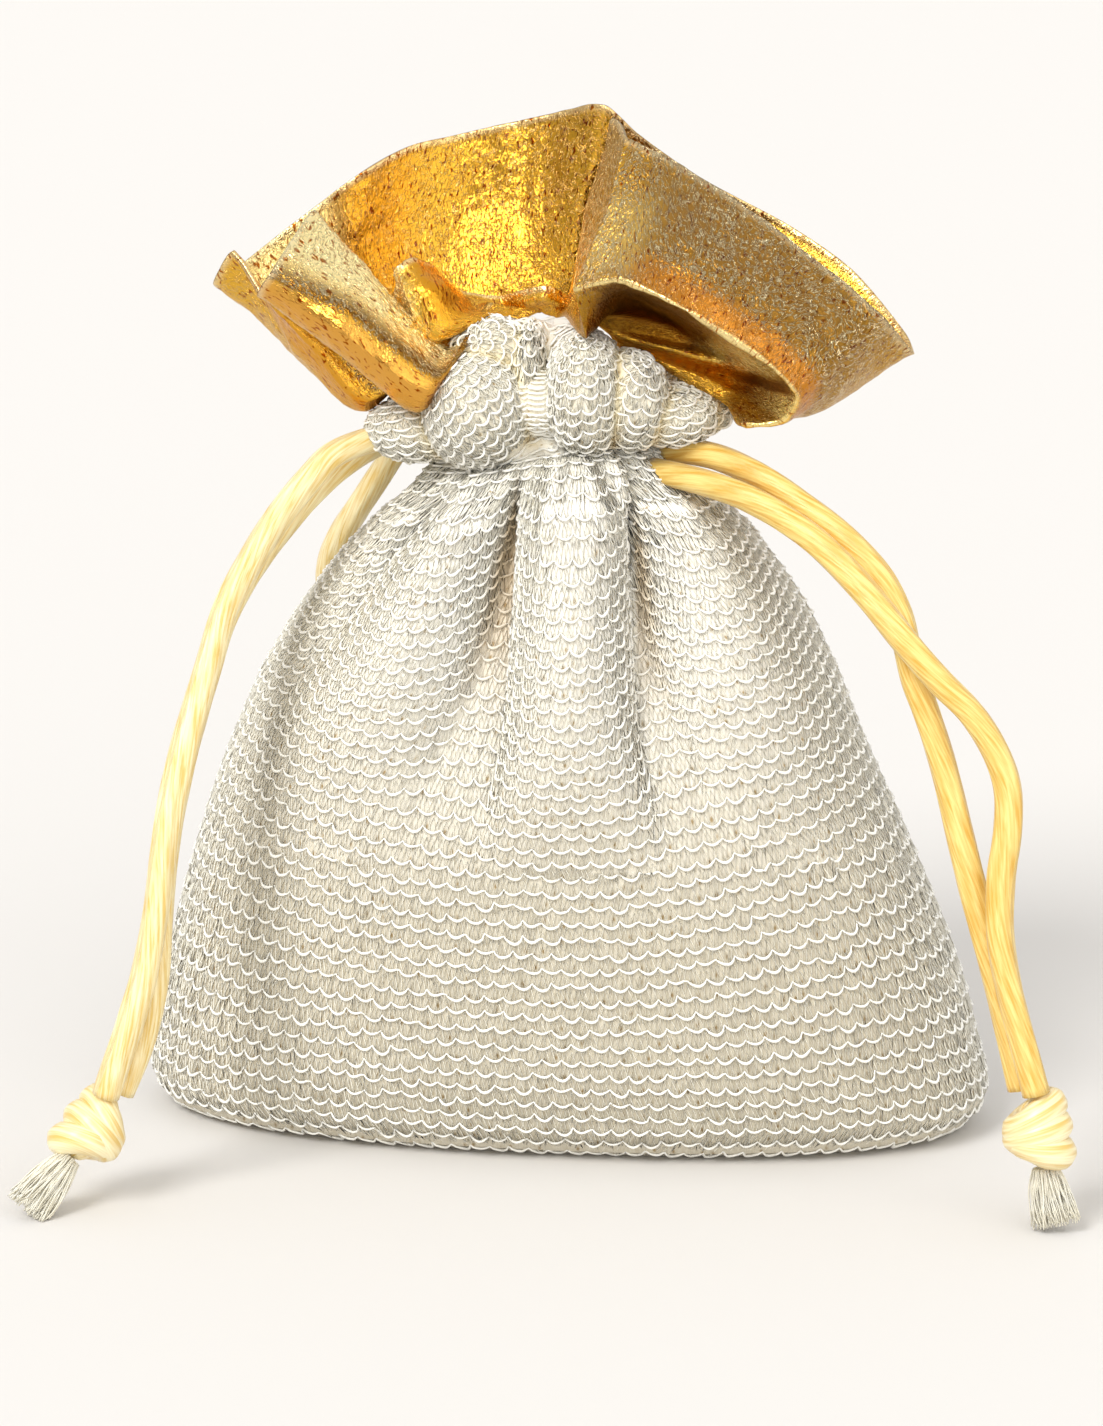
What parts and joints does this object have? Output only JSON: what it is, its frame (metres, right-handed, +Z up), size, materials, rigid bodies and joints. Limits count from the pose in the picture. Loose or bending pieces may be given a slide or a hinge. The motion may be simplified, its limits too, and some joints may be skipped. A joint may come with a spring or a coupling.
{
  "type": "potli bag",
  "caption": "Stuffed knitted drawstring pouch standing on a flat base, gathered at the neck by satin cords, with a ruffle and a crumpled metallic collar above the gather",
  "frame": {"origin": "on the ground under the middle of the pouch, at the bottom of its base", "axes": "+Z up, +X to the right as seen from the front, front towards -Y"},
  "size_m": [0.1323, 0.083, 0.1309],
  "materials": {
    "knit": "cream satin yarn knitted over a beige lining, soft sheen",
    "metallic_sheet": "gold metallic coated cloth, crinkled, shiny on the folds",
    "satin_cord": "pale gold satin cord with fine fibres along it",
    "frayed_cord": "frayed pale gold satin fibres"
  },
  "bodies": {
    "root": {"pouch": "knit", "gold_collar": "metallic_sheet", "drawstring_left_front": "satin_cord", "drawstring_left_rear": "satin_cord", "drawstring_right_rear": "satin_cord", "drawstring_right_front": "satin_cord", "slack_loop": "satin_cord", "knot_left": "satin_cord", "knot_right": "satin_cord", "tassel_left": "frayed_cord", "tassel_right": "frayed_cord"}
  },
  "joints": []
}
